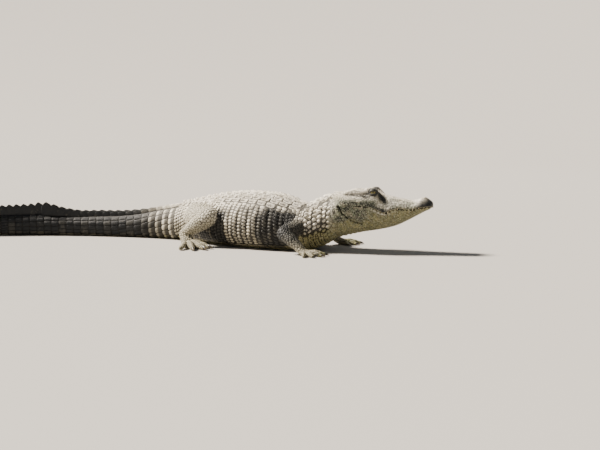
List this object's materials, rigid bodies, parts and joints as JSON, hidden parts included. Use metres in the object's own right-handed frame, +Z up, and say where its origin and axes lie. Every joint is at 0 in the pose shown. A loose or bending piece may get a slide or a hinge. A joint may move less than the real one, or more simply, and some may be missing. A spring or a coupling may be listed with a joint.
{
  "type": "american alligator",
  "caption": "Still, life-size American alligator lying on its belly, head raised and mouth shut, with keeled back scutes and a crested tail curving away behind.",
  "frame": {"origin": "under the middle of the bounding box, on the floor that the animal lies on", "axes": "+X towards the head along the picture's left-to-right direction, +Z up, the animal's right side towards -Y"},
  "size_m": [2.5172, 0.966, 0.2866],
  "materials": {
    "hide": "dry horny scales over dark grey-olive skin, pale and dusty on the back",
    "claw": "dark brown-black horn, satin",
    "eye": "wet olive-gold iris with an upright slit pupil",
    "tooth": "worn cream enamel"
  },
  "bodies": {
    "root": {"head": "hide", "lower_jaw": "hide", "neck": "hide", "trunk_chest": "hide", "trunk_belly": "hide", "trunk_hips": "hide", "tail_base": "hide", "tail_middle": "hide", "tail_rear": "hide", "tail_tip": "hide", "eye_right": "eye", "right_upper_arm": "hide", "right_forearm": "hide", "right_hand": "hide", "right_thigh": "hide", "right_shank": "hide", "right_foot": "hide", "right_hand_claw_1": "claw", "right_hand_claw_2": "claw", "right_hand_claw_3": "claw", "right_foot_claw_1": "claw", "right_foot_claw_2": "claw", "right_foot_claw_3": "claw", "eye_left": "eye", "left_upper_arm": "hide", "left_forearm": "hide", "left_hand": "hide", "left_thigh": "hide", "left_shank": "hide", "left_foot": "hide", "left_hand_claw_1": "claw", "left_hand_claw_2": "claw", "left_hand_claw_3": "claw", "left_foot_claw_1": "claw", "left_foot_claw_2": "claw", "left_foot_claw_3": "claw"}
  },
  "joints": []
}
